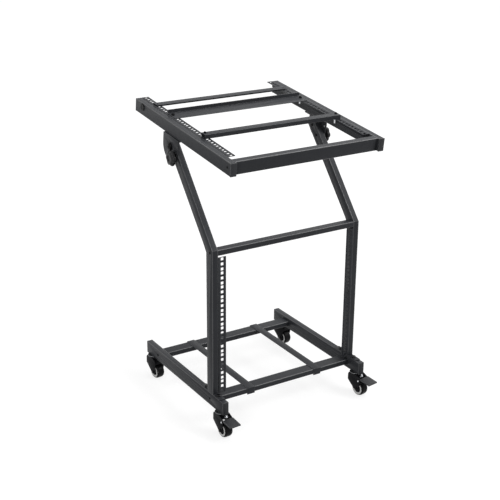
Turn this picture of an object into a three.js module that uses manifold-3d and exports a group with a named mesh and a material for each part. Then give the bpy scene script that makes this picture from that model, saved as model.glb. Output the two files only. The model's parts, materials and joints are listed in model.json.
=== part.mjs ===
import * as THREE from "three";
import { mergeVertices } from "three/addons/utils/BufferGeometryUtils.js";
import Module from "manifold-3d";

const wasm = await Module();
wasm.setup();

// Sizes are in millimetres. X runs across the stand, Y from front to rear and Z up.
// Lengths along Y are counted from the front plane of the lower rack rails.

// Rack standard: unit height, hole spacing and the distance between the two hole columns
const rackUnitHeight = 44.45;
const rackHoleStep = 15.875;
const rackHoleEdge = 6.35;
const rackHolesPerUnit = 3;
const rackHoleSize = 9.5;
const rackColumnSpacing = 465.1;

// Room between a hole column and the side frame, and the steel the frames are made of
const columnToFrame = 13.45;
const tubeAcross = 20;
const tubeWall = 2;
const runningGap = 0.3;
const boltGap = 0.2;
const seatGap = 0.1;
const turnedGap = 0.2;
const cutOverrun = 1;
const mergeTolerance = 0.0001;

// Feet
const casterHeight = 76;
const footHeight = 40;
const footLength = 505;
const footFrontReach = 60;
const capThickness = 3;
const capPlugLength = 9;

// Posts
const postSetback = 1;
const postDepth = 35;
const postLeanDegrees = 40;
const elbowHeight = 579.5;
const pivotAlongPost = 346;
const lockRadius = 37.6;
const postTopReach = 18;

// Base plates under the posts
const basePlateThickness = 3;
const basePlateLength = 115;
const basePlateBoltSpacing = 72;
const basePlateBoltRadius = 4;
const basePlateHeadRadius = 6.5;
const basePlateHeadHeight = 5;
const basePlateBoltLength = 16;

// Crossbars between the side frames
const baseBarDepth = 40;
const baseBarHeight = 17.5;
const baseBarRise = 12;
const rearBarInset = 58;
const midBarDepth = 28;
const midBarHeight = 18;
const midBarDrop = 11.5;
const barScrewRadius = 3.2;

// Lower rack rails
const railThickness = 2;
const lowerRailReach = 26.6;
const lowerRailWeb = 25;

// Straps across the base
const strapWidth = 27.5;
const strapThickness = 1.5;
const strapReach = { left: 129.25, right: 121.75 };
const strapHook = 3;

// Casters
const stemSetback = 28;
const rearStemInset = 28;
const stemRadius = 5;
const stemLength = 22;
const swivelPlateRadius = 20;
const swivelPlateThickness = 3;
const rivetRadius = 8;
const rivetThickness = 3;
const raceRadius = 17;
const raceHeight = 7.7;
const crownThickness = 4;
const crownFrontReach = 26;
const crownRearReach = 17;
const forkWidth = 36.5;
const forkPlate = 2.2;
const forkFrontReach = 35;
const forkTopFrontReach = 18;
const forkTopRearReach = 14;
const forkSkirtHeight = 22;
const forkSkirtReach = 10;
const forkSlopeHeight = 46;
const wheelRadius = 24;
const wheelWidth = 27;
const wheelTrail = 22;
const shoulderDrop = 3.5;
const shoulderWidth = 5.5;
const treadThickness = 4.5;
const rimWidth = 28.6;
const rimLip = 6.5;
const rimWeb = 6;
const hubRadius = 8;
const hubWidth = 31;
const axleRadius = 4;
const axleHeadRadius = 5.5;
const axleHeadThickness = 2.5;
const forkFootRadius = 7;
const forkFootArc = [190, 350];
const casterTurnDegrees = { front_left: 3, front_right: 9, rear_left: 5, rear_right: 7 };

// Brake pedals of the front casters
const pedalPivotReach = 29;
const pedalPivotHeight = 55;
const pedalPinRadius = 2.5;
const pedalPinEnd = 1.5;
const pedalBossRadius = 4.5;
const pedalBossArc = [-120, 45];
const pedalArmThickness = 3;
const pedalWidth = 39;
const pedalThickness = 4;
const pedalStartReach = 37;
const pedalEndReach = 78;
const pedalStartHeight = 65;
const pedalEndHeight = 60;

// Top frame: s runs rearward along its members and n up from their top faces
const topTiltDegrees = 6.56;
const memberHeight = 40;
const memberLength = 583.6;
const pivotFromMemberFront = 340;
const pivotBelowMemberTop = 71.8;
const frontTubeSetback = 9;
const frontTubeDepth = 22;
const topRailReach = 23.5;
const topRailWeb = 20;

// Bars that lie across the top rack rails, each screwed on at a hole counted from the rear end
const barEndReach = 7.45;
const sheetThickness = 2;
const rearBarHoleIndex = 5;
const rearBarHoleInset = 13.05;
const rearBarDepth = 25.5;
const rearBarHeight = 4.4;
const shelfBarHoleIndex = 12;
const shelfBarHoleInset = 29.45;
const shelfBarDepth = 50;
const shelfBarHeight = 13.5;
const frontBarHoleIndex = 25;
const frontBarHoleInset = 16.275;
const frontBarDepth = 23;
const frontBarHeight = 13.2;
const barBoltRadius = 3.3;

// Tilt brackets
const bracketThickness = 4;
const bracketRadius = 46.5;
const tiltSlotDegrees = 20;
const steepHoleDegrees = 50;
const steepHoleRadius = 3.5;
const downDegrees = 270;

// Pivot bolts and lock knobs
const pivotBoltRadius = 5;
const pivotHeadRadius = 12;
const pivotHeadHeight = 6.5;
const pivotHeadArc = [15, 75];
const knobRadius = 25;
const knobThickness = 14;
const knobHubRadius = 11;
const knobHubLength = 5;
const knobStudRadius = 4;
const knobLobes = 6;
const knobLobeDepthShare = 0.14;
const knobBevel = 2;

const halfTurnDegrees = 180;
const fullTurnDegrees = 360;
const boltSides = 12;
const roundSides = 16;
const wheelSides = 24;

// Places that follow from the sizes above
const innerX = rackColumnSpacing / 2 + columnToFrame;
const outerX = innerX + tubeAcross;
const middleX = innerX + tubeAcross / 2;
const footBottom = casterHeight;
const footTop = footBottom + footHeight;
const footFront = -footFrontReach;
const footRear = footFront + footLength;
const postFront = postSetback;
const postMiddle = postFront + postDepth / 2;
const postBottom = footTop + basePlateThickness;
const midBarBottom = elbowHeight - midBarDrop;
const lowerRackUnits = Math.floor((midBarBottom - postBottom) / rackUnitHeight);
const lean = THREE.MathUtils.degToRad(postLeanDegrees);
const pivotY = postMiddle + pivotAlongPost * Math.sin(lean);
const pivotZ = elbowHeight + pivotAlongPost * Math.cos(lean);
const lockY = pivotY - lockRadius * Math.sin(lean);
const lockZ = pivotZ - lockRadius * Math.cos(lean);
const baseBarBottom = footBottom + baseBarRise;
const baseBarTop = baseBarBottom + baseBarHeight;
const rearBarRear = footRear - rearBarInset;
const topTilt = THREE.MathUtils.degToRad(topTiltDegrees);
const memberTop = pivotBelowMemberTop;
const barSeat = memberTop + turnedGap;
const bracketTop = memberTop - memberHeight - turnedGap;
const memberFront = -pivotFromMemberFront;
const plateInnerX = outerX + runningGap;
const plateOuterX = plateInnerX + bracketThickness;
const memberRear = memberFront + memberLength;
const topRackRoom = memberLength - frontTubeSetback - frontTubeDepth;
const topRackUnits = Math.floor(topRackRoom / rackUnitHeight);
const topRackStart = memberRear - topRackUnits * rackUnitHeight;
const barEnd = rackColumnSpacing / 2 + barEndReach;

// Colours of the finishes
const finishes = {
  powderCoat: { color: 0x35363a, roughness: 0.5, metalness: 0.2 },
  blackSteel: { color: 0x17181a, roughness: 0.45, metalness: 0.4 },
  zinc: { color: 0xb9bcc0, roughness: 0.35, metalness: 0.9 },
  blackPlastic: { color: 0x1c1d1f, roughness: 0.6, metalness: 0 },
  rubber: { color: 0x2a2a2c, roughness: 0.85, metalness: 0 },
  lightPlastic: { color: 0xc9c9c6, roughness: 0.6, metalness: 0 },
};

const sides = { left: -1, right: 1 };

// Turns a closed three.js geometry into a solid that can be cut and joined.
function solidOf(geometry) {
  const bare = geometry.index ? geometry.toNonIndexed() : geometry.clone();
  bare.deleteAttribute("normal");
  bare.deleteAttribute("uv");
  const merged = mergeVertices(bare, mergeTolerance);
  const mesh = new wasm.Mesh({
    numProp: 3,
    vertProperties: merged.getAttribute("position").array,
    triVerts: new Uint32Array(merged.index.array),
  });
  return new wasm.Manifold(mesh);
}

function meshOf(name, solid, finish) {
  const { vertProperties, triVerts } = solid.getMesh();
  const indexed = new THREE.BufferGeometry();
  indexed.setAttribute("position", new THREE.BufferAttribute(new Float32Array(vertProperties), 3));
  indexed.setIndex(new THREE.BufferAttribute(new Uint32Array(triVerts), 1));
  const geometry = indexed.toNonIndexed();
  geometry.computeVertexNormals();
  const mesh = new THREE.Mesh(geometry, new THREE.MeshStandardMaterial(finishes[finish]));
  mesh.name = name;
  return mesh;
}

// The two given distances from the middle plane, put on one side of it in rising order.
function across(side, near, far) {
  return side > 0 ? [near, far] : [-far, -near];
}

function block([x0, x1], [y0, y1], [z0, z1]) {
  const geometry = new THREE.BoxGeometry(x1 - x0, y1 - y0, z1 - z0);
  geometry.translate((x0 + x1) / 2, (y0 + y1) / 2, (z0 + z1) / 2);
  return solidOf(geometry);
}

function outline(points) {
  return points.map(([u, v]) => new THREE.Vector2(u, v));
}

// Extrudes a closed outline given in Y and Z along X.
function prism([x0, x1], points, holes = []) {
  const shape = new THREE.Shape(outline(points));
  shape.holes = holes.map((hole) => new THREE.Path(outline(hole)));
  const geometry = new THREE.ExtrudeGeometry(shape, { depth: x1 - x0, bevelEnabled: false });
  const turn = new THREE.Matrix4().makeBasis(
    new THREE.Vector3(0, 1, 0),
    new THREE.Vector3(0, 0, 1),
    new THREE.Vector3(1, 0, 0),
  );
  geometry.applyMatrix4(turn);
  geometry.translate(x0, 0, 0);
  return solidOf(geometry);
}

function rodAlongX(radius, [x0, x1], y, z, count = boltSides) {
  const geometry = new THREE.CylinderGeometry(radius, radius, x1 - x0, count);
  geometry.rotateZ(Math.PI / 2);
  geometry.translate((x0 + x1) / 2, y, z);
  return solidOf(geometry);
}

function rodAlongZ(radius, [z0, z1], x, y, count = boltSides) {
  const geometry = new THREE.CylinderGeometry(radius, radius, z1 - z0, count);
  geometry.rotateX(Math.PI / 2);
  geometry.translate(x, y, (z0 + z1) / 2);
  return solidOf(geometry);
}

// Turns a profile of radius and height about the Z axis.
function turnedAboutZ(profile, count) {
  const geometry = new THREE.LatheGeometry(outline(profile), count);
  geometry.rotateX(Math.PI / 2);
  return solidOf(geometry);
}

// Turns a profile of radius and place along X about the X axis.
function turnedAboutX(profile, count) {
  const geometry = new THREE.LatheGeometry(outline(profile), count);
  geometry.rotateZ(-Math.PI / 2);
  return solidOf(geometry);
}

function rectangle([u0, u1], [v0, v1]) {
  return [
    [u0, v0],
    [u1, v0],
    [u1, v1],
    [u0, v1],
  ];
}

// A rectangular tube along Y with its two ends open.
function tubeAlongY(xSpan, ySpan, zSpan) {
  const inside = block(
    [xSpan[0] + tubeWall, xSpan[1] - tubeWall],
    [ySpan[0] - cutOverrun, ySpan[1] + cutOverrun],
    [zSpan[0] + tubeWall, zSpan[1] - tubeWall],
  );
  return block(xSpan, ySpan, zSpan).subtract(inside);
}

// A rectangular tube along X with its two ends open.
function tubeAlongX(xSpan, ySpan, zSpan) {
  const inside = rectangle(
    [ySpan[0] + tubeWall, ySpan[1] - tubeWall],
    [zSpan[0] + tubeWall, zSpan[1] - tubeWall],
  );
  return prism(xSpan, rectangle(ySpan, zSpan), [inside]);
}

// A cap whose plate covers the end of a tube along Y and whose plug fits inside it.
function tubeCap(xSpan, endY, outward, zSpan) {
  const plate = block(
    xSpan,
    outward > 0 ? [endY, endY + capThickness] : [endY - capThickness, endY],
    zSpan,
  );
  const inset = tubeWall + runningGap;
  const plug = block(
    [xSpan[0] + inset, xSpan[1] - inset],
    outward > 0
      ? [endY - capPlugLength, endY + capThickness]
      : [endY - capThickness, endY + capPlugLength],
    [zSpan[0] + inset, zSpan[1] - inset],
  );
  return plate.add(plug);
}

const baseBolts = [postMiddle - basePlateBoltSpacing / 2, postMiddle + basePlateBoltSpacing / 2];
const frontStemY = footFront + stemSetback;
const rearStemY = footRear - rearStemInset;

// A foot tube with holes for the base plate bolts, the crossbar screws and the caster stems.
function foot(side) {
  const ySpan = [footFront + capThickness, footRear - capThickness];
  const barY = [postFront + baseBarDepth / 2, rearBarRear - baseBarDepth / 2];
  const barZ = baseBarBottom + baseBarHeight / 2;
  let solid = tubeAlongY(across(side, innerX, outerX), ySpan, [footBottom, footTop]);
  for (const y of baseBolts) {
    const zSpan = [footTop - tubeWall - cutOverrun, footTop + cutOverrun];
    solid = solid.subtract(rodAlongZ(basePlateBoltRadius + boltGap, zSpan, side * middleX, y));
  }
  for (const y of [frontStemY, rearStemY]) {
    const zSpan = [footBottom - cutOverrun, footBottom + tubeWall + cutOverrun];
    solid = solid.subtract(rodAlongZ(stemRadius + boltGap, zSpan, side * middleX, y));
  }
  for (const y of barY) {
    const xSpan = across(side, innerX - cutOverrun, outerX + cutOverrun);
    solid = solid.subtract(rodAlongX(barScrewRadius, xSpan, y, barZ));
  }
  return solid;
}

// A base plate on the foot with the two bolts that hold it.
function basePlate(side) {
  const half = basePlateLength / 2;
  let solid = block(
    across(side, innerX, outerX),
    [postMiddle - half, postMiddle + half],
    [footTop, postBottom],
  );
  for (const y of baseBolts) {
    const shank = [footTop - basePlateBoltLength, postBottom];
    const head = [postBottom, postBottom + basePlateHeadHeight];
    solid = solid.add(rodAlongZ(basePlateBoltRadius, shank, side * middleX, y));
    solid = solid.add(rodAlongZ(basePlateHeadRadius, head, side * middleX, y));
  }
  return solid;
}

// The side view of a post: upright, then leaning back from a mitred elbow.
function postOutline(inset, bottom, reach) {
  const half = postDepth / 2 - inset;
  const rise = half * Math.tan(lean / 2);
  const along = [Math.sin(lean), Math.cos(lean)];
  const top = [postMiddle + along[0] * reach, elbowHeight + along[1] * reach];
  return [
    [postMiddle - half, bottom],
    [postMiddle + half, bottom],
    [postMiddle + half, elbowHeight - rise],
    [top[0] + along[1] * half, top[1] - along[0] * half],
    [top[0] - along[1] * half, top[1] + along[0] * half],
    [postMiddle - half, elbowHeight + rise],
  ];
}

// A hollow post, open at the bottom, with its pivot, lock and crossbar screw holes.
function post(side) {
  const reach = pivotAlongPost + postTopReach;
  const outer = prism(across(side, innerX, outerX), postOutline(0, postBottom, reach));
  const inner = prism(
    across(side, innerX + tubeWall, outerX - tubeWall),
    postOutline(tubeWall, postBottom - cutOverrun, reach - tubeWall),
  );
  const through = across(side, innerX - cutOverrun, outerX + cutOverrun);
  return outer
    .subtract(inner)
    .subtract(rodAlongX(pivotBoltRadius + boltGap, through, pivotY, pivotZ))
    .subtract(rodAlongX(knobStudRadius + boltGap, through, lockY, lockZ))
    .subtract(
      rodAlongX(
        barScrewRadius,
        through,
        postFront + midBarDepth / 2,
        midBarBottom + midBarHeight / 2,
      ),
    );
}

// A rack rail: a flange with square holes facing +Z and a web behind its outer edge, along Y.
function rackRail(side, units, reach, webDepth) {
  const length = units * rackUnitHeight;
  const column = rackColumnSpacing / 2;
  const half = rackHoleSize / 2;
  const xSpan = across(side, innerX - reach, innerX);
  const shape = new THREE.Shape(outline(rectangle(xSpan, [0, length])));
  for (let unit = 0; unit < units; unit += 1) {
    for (let hole = 0; hole < rackHolesPerUnit; hole += 1) {
      const x = side * column;
      const y = unit * rackUnitHeight + rackHoleEdge + hole * rackHoleStep;
      shape.holes.push(new THREE.Path(outline(rectangle([x - half, x + half], [y - half, y + half]))));
    }
  }
  const flange = new THREE.ExtrudeGeometry(shape, { depth: railThickness, bevelEnabled: false });
  flange.translate(0, 0, -railThickness);
  const web = block(across(side, innerX - railThickness, innerX), [0, length], [-webDepth, 0]);
  return solidOf(flange).add(web);
}

// A flat strap over both base crossbars, folded down over their outer faces.
function strap(name, side) {
  const front = postFront - runningGap;
  const rear = rearBarRear + runningGap;
  const low = baseBarBottom - strapHook;
  const high = baseBarTop + strapThickness;
  const middle = side * strapReach[name];
  return prism([middle - strapWidth / 2, middle + strapWidth / 2], [
    [front, low],
    [front, baseBarTop],
    [rear, baseBarTop],
    [rear, low],
    [rear + strapThickness, low],
    [rear + strapThickness, high],
    [front - strapThickness, high],
    [front - strapThickness, low],
  ]);
}

const forkTop = casterHeight - swivelPlateThickness - runningGap;
const crownTop = forkTop - raceHeight;
const crownBottom = crownTop - crownThickness;
const forkInnerX = forkWidth / 2 - forkPlate;

// The fixed head of a caster: stem, swivel plate, kingpin and the rivet under the fork.
function swivelHead() {
  const pinBottom = crownBottom - runningGap;
  return turnedAboutZ(
    [
      [0, pinBottom - rivetThickness],
      [rivetRadius, pinBottom - rivetThickness],
      [rivetRadius, pinBottom],
      [stemRadius, pinBottom],
      [stemRadius, casterHeight - swivelPlateThickness],
      [swivelPlateRadius, casterHeight - swivelPlateThickness],
      [swivelPlateRadius, casterHeight],
      [stemRadius, casterHeight],
      [stemRadius, casterHeight + stemLength],
      [0, casterHeight + stemLength],
    ],
    roundSides,
  );
}

function arc(cy, cz, radius, from, to, steps) {
  const points = [];
  for (let i = 0; i <= steps; i += 1) {
    const angle = THREE.MathUtils.degToRad(from + ((to - from) * i) / steps);
    points.push([cy + radius * Math.cos(angle), cz + radius * Math.sin(angle)]);
  }
  return points;
}

// A fork: a crown with a race ring and two side plates that carry the axle.
function fork(braked) {
  const half = forkWidth / 2;
  const crown = new THREE.Shape(
    outline(rectangle([-half, half], [-crownFrontReach, crownRearReach])),
  );
  const crownGeometry = new THREE.ExtrudeGeometry(crown, { depth: crownThickness, bevelEnabled: false });
  crownGeometry.translate(0, 0, crownBottom);
  const legOutline = [
    [crownRearReach, crownTop],
    [forkTopRearReach, forkTop],
    [-forkTopFrontReach, forkTop],
    [-forkFrontReach, crownTop],
    [-forkFrontReach, forkSlopeHeight],
    ...arc(-wheelTrail, wheelRadius, forkFootRadius, ...forkFootArc, boltSides / 2),
    [-forkSkirtReach, forkSkirtHeight],
    [crownRearReach, forkSlopeHeight],
  ];
  let solid = solidOf(crownGeometry);
  solid = solid.add(rodAlongZ(raceRadius, [crownBottom, forkTop], 0, 0, roundSides));
  for (const side of Object.values(sides)) {
    solid = solid.add(prism(across(side, forkInnerX, half), legOutline));
  }
  const through = [-half - cutOverrun, half + cutOverrun];
  const boreSpan = [crownBottom - cutOverrun, forkTop + cutOverrun];
  solid = solid.subtract(rodAlongZ(stemRadius + runningGap, boreSpan, 0, 0));
  solid = solid.subtract(rodAlongX(axleRadius + boltGap, through, -wheelTrail, wheelRadius));
  if (braked) {
    solid = solid.subtract(
      rodAlongX(pedalPinRadius + boltGap, through, -pedalPivotReach, pedalPivotHeight),
    );
  }
  return solid;
}

function tyre() {
  const half = wheelWidth / 2;
  const seat = wheelRadius - treadThickness + seatGap;
  return turnedAboutX(
    [
      [seat, -half],
      [wheelRadius - shoulderDrop, -half],
      [wheelRadius, shoulderWidth - half],
      [wheelRadius, half - shoulderWidth],
      [wheelRadius - shoulderDrop, half],
      [seat, half],
      [seat, -half],
    ],
    wheelSides,
  );
}

function rim() {
  const seat = wheelRadius - treadThickness;
  const bore = axleRadius + boltGap;
  return turnedAboutX(
    [
      [bore, -hubWidth / 2],
      [hubRadius, -hubWidth / 2],
      [hubRadius, -rimWeb / 2],
      [seat - rimLip, -rimWeb / 2],
      [seat - rimLip, -rimWidth / 2],
      [seat, -rimWidth / 2],
      [seat, rimWidth / 2],
      [seat - rimLip, rimWidth / 2],
      [seat - rimLip, rimWeb / 2],
      [hubRadius, rimWeb / 2],
      [hubRadius, hubWidth / 2],
      [bore, hubWidth / 2],
      [bore, -hubWidth / 2],
    ],
    wheelSides,
  );
}

// A pin along X with a flat head at each end, outside the fork.
function headedPin(radius, headRadius, headThickness) {
  const face = forkWidth / 2 + seatGap;
  return turnedAboutX(
    [
      [0, -face - headThickness],
      [headRadius, -face - headThickness],
      [headRadius, -face],
      [radius, -face],
      [radius, face],
      [headRadius, face],
      [headRadius, face + headThickness],
      [0, face + headThickness],
    ],
    boltSides,
  );
}

// A brake pedal: a tread plate in front of the fork on two arms that turn on the pin.
function pedal() {
  const half = pedalWidth / 2;
  const plate = prism(
    [-half, half],
    [
      [-pedalStartReach, pedalStartHeight - pedalThickness],
      [-pedalStartReach, pedalStartHeight],
      [-pedalEndReach, pedalEndHeight],
      [-pedalEndReach, pedalEndHeight - pedalThickness],
    ].reverse(),
  );
  const armOuter = forkInnerX - runningGap;
  const armOutline = [
    ...arc(-pedalPivotReach, pedalPivotHeight, pedalBossRadius, ...pedalBossArc, boltSides / 3),
    [-pedalStartReach, pedalStartHeight],
    [-pedalStartReach - pedalThickness, pedalStartHeight - pedalThickness],
  ];
  let solid = plate;
  for (const side of Object.values(sides)) {
    solid = solid.add(prism(across(side, armOuter - pedalArmThickness, armOuter), armOutline));
  }
  const through = [-half, half];
  return solid.subtract(
    rodAlongX(pedalPinRadius + boltGap, through, -pedalPivotReach, pedalPivotHeight),
  );
}

// Adds one caster with its meshes in groups that turn about the stem.
function addCaster(parent, name, x, y, braked) {
  const caster = new THREE.Group();
  caster.position.set(x, y, 0);
  const swivel = new THREE.Group();
  swivel.rotation.z = THREE.MathUtils.degToRad(casterTurnDegrees[name]);
  const wheel = new THREE.Group();
  wheel.position.set(0, -wheelTrail, wheelRadius);
  caster.add(meshOf(`caster_${name}_swivel_head`, swivelHead(), "zinc"));
  swivel.add(meshOf(`caster_${name}_fork`, fork(braked), "blackSteel"));
  wheel.add(meshOf(`caster_${name}_tyre`, tyre(), "rubber"));
  wheel.add(meshOf(`caster_${name}_rim`, rim(), "lightPlastic"));
  const axle = headedPin(axleRadius, axleHeadRadius, axleHeadThickness);
  wheel.add(meshOf(`caster_${name}_axle`, axle, "blackSteel"));
  if (braked) {
    const pin = meshOf(
      `caster_${name}_pedal_pin`,
      headedPin(pedalPinRadius, pedalPinRadius + boltGap, pedalPinEnd),
      "zinc",
    );
    pin.position.set(0, -pedalPivotReach, pedalPivotHeight);
    swivel.add(meshOf(`caster_${name}_pedal`, pedal(), "blackPlastic"), pin);
  }
  swivel.add(wheel);
  caster.add(swivel);
  parent.add(caster);
}

// The place along the top frame of a rack hole counted from the rear end of the rails.
function topHole(index) {
  const unit = Math.floor(index / rackHolesPerUnit);
  const hole = index % rackHolesPerUnit;
  return memberRear - unit * rackUnitHeight - rackHoleEdge - hole * rackHoleStep;
}

// Drills a bar at the two rack hole columns.
function drilledBar(solid, index) {
  let drilled = solid;
  for (const side of Object.values(sides)) {
    const zSpan = [barSeat - cutOverrun, barSeat + shelfBarHeight + cutOverrun];
    const x = (side * rackColumnSpacing) / 2;
    drilled = drilled.subtract(rodAlongZ(barBoltRadius, zSpan, x, topHole(index)));
  }
  return drilled;
}

// The narrow rear bar, a shallow channel open towards the rails.
function rearBar() {
  const start = topHole(rearBarHoleIndex) - rearBarHoleInset;
  const low = barSeat;
  const high = low + rearBarHeight;
  const solid = prism([-barEnd, barEnd], [
    [start, low],
    [start + sheetThickness, low],
    [start + sheetThickness, high - sheetThickness],
    [start + rearBarDepth - sheetThickness, high - sheetThickness],
    [start + rearBarDepth - sheetThickness, low],
    [start + rearBarDepth, low],
    [start + rearBarDepth, high],
    [start, high],
  ]);
  return drilledBar(solid, rearBarHoleIndex);
}

// The wide bar, a flat shelf with an upright lip along its rear edge.
function shelfBar() {
  const start = topHole(shelfBarHoleIndex) - shelfBarHoleInset;
  const end = start + shelfBarDepth;
  const solid = prism([-barEnd, barEnd], [
    [start, barSeat],
    [end, barSeat],
    [end, barSeat + shelfBarHeight],
    [end - sheetThickness, barSeat + shelfBarHeight],
    [end - sheetThickness, barSeat + sheetThickness],
    [start, barSeat + sheetThickness],
  ]);
  return drilledBar(solid, shelfBarHoleIndex);
}

// The front bar, a flat tube open at both ends.
function frontBar() {
  const start = topHole(frontBarHoleIndex) - frontBarHoleInset;
  const solid = tubeAlongX(
    [-barEnd, barEnd],
    [start, start + frontBarDepth],
    [barSeat, barSeat + frontBarHeight],
  );
  return drilledBar(solid, frontBarHoleIndex);
}

// The slot that the lock stud runs in, as an outline about the pivot.
function slotOutline(radius, halfWidth, from, to) {
  const at = (degrees) => {
    const angle = THREE.MathUtils.degToRad(degrees);
    return [radius * Math.cos(angle), radius * Math.sin(angle)];
  };
  const steps = boltSides / 2;
  return [
    ...arc(0, 0, radius + halfWidth, from, to, steps),
    ...arc(...at(to), halfWidth, to, to + halfTurnDegrees, steps).slice(1),
    ...arc(0, 0, radius - halfWidth, to, from, steps).slice(1),
    ...arc(...at(from), halfWidth, from - halfTurnDegrees, from, steps).slice(1, -1),
  ];
}

// A tilt bracket: a flange under the member and a plate outside the post, about the pivot.
function bracket(side) {
  const lockDegrees = downDegrees - postLeanDegrees - topTiltDegrees;
  const plateOutline = [
    [bracketRadius, bracketTop],
    [-bracketRadius, bracketTop],
    ...arc(0, 0, bracketRadius, halfTurnDegrees, fullTurnDegrees, roundSides),
  ];
  const slot = slotOutline(
    lockRadius,
    knobStudRadius + runningGap,
    lockDegrees - tiltSlotDegrees,
    lockDegrees,
  );
  const steepAngle = THREE.MathUtils.degToRad(lockDegrees - steepHoleDegrees);
  const plate = prism(across(side, plateInnerX, plateOuterX), plateOutline, [slot]);
  const flange = block(
    across(side, innerX, plateOuterX),
    [-bracketRadius, bracketRadius],
    [bracketTop - bracketThickness, bracketTop],
  );
  const through = across(side, plateInnerX - cutOverrun, plateOuterX + cutOverrun);
  return plate
    .add(flange)
    .subtract(rodAlongX(pivotBoltRadius + boltGap, through, 0, 0))
    .subtract(
      rodAlongX(
        steepHoleRadius,
        through,
        lockRadius * Math.cos(steepAngle),
        lockRadius * Math.sin(steepAngle),
      ),
    );
}

// A bolt through bracket and post, with a domed head outside.
function pivotBolt(side) {
  const seat = plateOuterX + runningGap;
  const points = [
    [0, innerX],
    [pivotBoltRadius, innerX],
    [pivotBoltRadius, seat],
    [pivotHeadRadius, seat],
    ...arc(0, 0, 1, ...pivotHeadArc, boltSides / 4).map(([radiusShare, heightShare]) => [
      pivotHeadRadius * radiusShare,
      seat + pivotHeadHeight * heightShare,
    ]),
    [0, seat + pivotHeadHeight],
  ];
  const solid = turnedAboutX(points, roundSides);
  return side > 0 ? solid : solid.mirror([1, 0, 0]);
}

// A lock knob: a lobed grip on a hub, with a stud through the bracket slot into the post.
function lockKnob(side) {
  const seat = plateOuterX + runningGap;
  const gripStart = seat + knobHubLength;
  const steps = (knobLobes * boltSides) / 2;
  const points = [];
  for (let i = 0; i < steps; i += 1) {
    const angle = (2 * Math.PI * i) / steps;
    const dent = (1 - Math.cos(knobLobes * angle)) / 2;
    const radius = (knobRadius - knobBevel) * (1 - knobLobeDepthShare * dent);
    points.push([radius * Math.cos(angle), radius * Math.sin(angle)]);
  }
  const grip = new THREE.ExtrudeGeometry(new THREE.Shape(outline(points)), {
    depth: knobThickness - 2 * knobBevel,
    bevelThickness: knobBevel,
    bevelSize: knobBevel,
    bevelSegments: 1,
  });
  grip.rotateY(Math.PI / 2);
  grip.translate(gripStart + knobBevel, 0, 0);
  const solid = solidOf(grip)
    .add(rodAlongX(knobHubRadius, [seat, gripStart + knobBevel], 0, 0))
    .add(rodAlongX(knobStudRadius, [innerX, seat + knobHubLength], 0, 0));
  return side > 0 ? solid : solid.mirror([1, 0, 0]);
}

// The tilting frame, built about the pivot axis with its members level.
function topFrame() {
  const frame = new THREE.Group();
  const zSpan = [memberTop - memberHeight, memberTop];
  for (const [name, side] of Object.entries(sides)) {
    const xSpan = across(side, innerX, outerX);
    const tubeEnd = capThickness + turnedGap;
    const tube = tubeAlongY(xSpan, [memberFront + tubeEnd, memberRear - tubeEnd], zSpan);
    frame.add(meshOf(`top_member_${name}`, tube, "powderCoat"));
    const frontCap = tubeCap(xSpan, memberFront + capThickness, -1, zSpan);
    frame.add(meshOf(`top_member_front_cap_${name}`, frontCap, "blackPlastic"));
    const rearCap = tubeCap(xSpan, memberRear - capThickness, 1, zSpan);
    frame.add(meshOf(`top_member_rear_cap_${name}`, rearCap, "blackPlastic"));
    const rail = meshOf(
      `top_rack_rail_${name}`,
      rackRail(side, topRackUnits, topRailReach, topRailWeb),
      "powderCoat",
    );
    rail.position.set(0, topRackStart, memberTop);
    frame.add(rail);
    frame.add(meshOf(`tilt_bracket_${name}`, bracket(side), "powderCoat"));
  }
  const tubeStart = memberFront + frontTubeSetback;
  const frontTube = tubeAlongX([-innerX, innerX], [tubeStart, tubeStart + frontTubeDepth], zSpan);
  frame.add(meshOf("top_front_tube", frontTube, "powderCoat"));
  frame.add(meshOf("top_rear_bar", rearBar(), "powderCoat"));
  frame.add(meshOf("top_shelf_bar", shelfBar(), "powderCoat"));
  frame.add(meshOf("top_front_bar", frontBar(), "powderCoat"));
  frame.position.set(0, pivotY, pivotZ);
  frame.rotation.x = topTilt;
  return frame;
}

// One side frame: foot with caps, base plate, post, lower rail, strap, pivot bolt and lock knob.
function sideFrame(name, side) {
  const frame = new THREE.Group();
  const xSpan = across(side, innerX, outerX);
  const zSpan = [footBottom, footTop];
  frame.add(meshOf(`foot_${name}`, foot(side), "powderCoat"));
  const frontCap = tubeCap(xSpan, footFront + capThickness, -1, zSpan);
  frame.add(meshOf(`foot_front_cap_${name}`, frontCap, "blackPlastic"));
  const rearCap = tubeCap(xSpan, footRear - capThickness, 1, zSpan);
  frame.add(meshOf(`foot_rear_cap_${name}`, rearCap, "blackPlastic"));
  frame.add(meshOf(`base_plate_${name}`, basePlate(side), "blackSteel"));
  frame.add(meshOf(`post_${name}`, post(side), "powderCoat"));
  const rail = meshOf(
    `lower_rack_rail_${name}`,
    rackRail(side, lowerRackUnits, lowerRailReach, lowerRailWeb),
    "powderCoat",
  );
  rail.rotation.x = Math.PI / 2;
  rail.position.set(0, 0, postBottom);
  frame.add(rail);
  frame.add(meshOf(`base_strap_${name}`, strap(name, side), "powderCoat"));
  const bolt = meshOf(`pivot_bolt_${name}`, pivotBolt(side), "blackSteel");
  bolt.position.set(0, pivotY, pivotZ);
  const knob = meshOf(`lock_knob_${name}`, lockKnob(side), "blackPlastic");
  knob.position.set(0, lockY, lockZ);
  frame.add(bolt, knob);
  return frame;
}

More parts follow.
